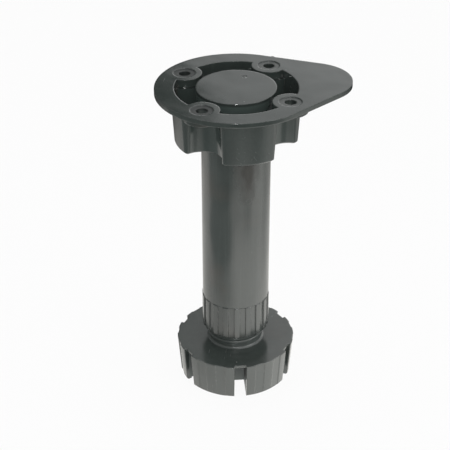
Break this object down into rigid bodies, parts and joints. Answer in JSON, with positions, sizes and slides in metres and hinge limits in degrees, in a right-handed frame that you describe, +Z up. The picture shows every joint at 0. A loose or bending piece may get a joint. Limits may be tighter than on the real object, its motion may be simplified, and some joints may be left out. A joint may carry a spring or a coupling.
{
  "type": "adjustable cabinet leg",
  "caption": "Adjustable cabinet leg: a screw-on plate with a socket, a straight tube, and a slotted round foot whose stem screws in and out of the tube to set the height.",
  "frame": {"origin": "centre of the plate's mounting face, on the leg's axis", "axes": "+Z up along the leg's axis, out of the mounting face; +X along the plate's tail"},
  "size_m": [0.0902, 0.0736, 0.1539],
  "materials": {
    "plate_plastic": "semi-gloss moulded black plastic",
    "tube_plastic": "semi-gloss moulded black plastic",
    "foot_plastic": "semi-gloss moulded black plastic"
  },
  "bodies": {
    "plate": {"mounting_plate": "plate_plastic"},
    "tube": {"leg_tube": "tube_plastic"},
    "foot": {"adjusting_foot": "foot_plastic"}
  },
  "joints": [
    {"name": "tube_turn", "type": "hinge", "parent": "plate", "child": "tube", "pos_m": [0, 0, 0], "axis": [0, 0, 1], "range_deg": [-720, 2520]},
    {"name": "foot_travel", "type": "slide", "parent": "plate", "child": "foot", "axis": [0, 0, -1], "range_m": [-0.00601, 0.02101]}
  ],
  "couplings": [
    {"joint": "foot_travel", "follows": "tube_turn", "m_per_rad": 0.00047746}
  ]
}
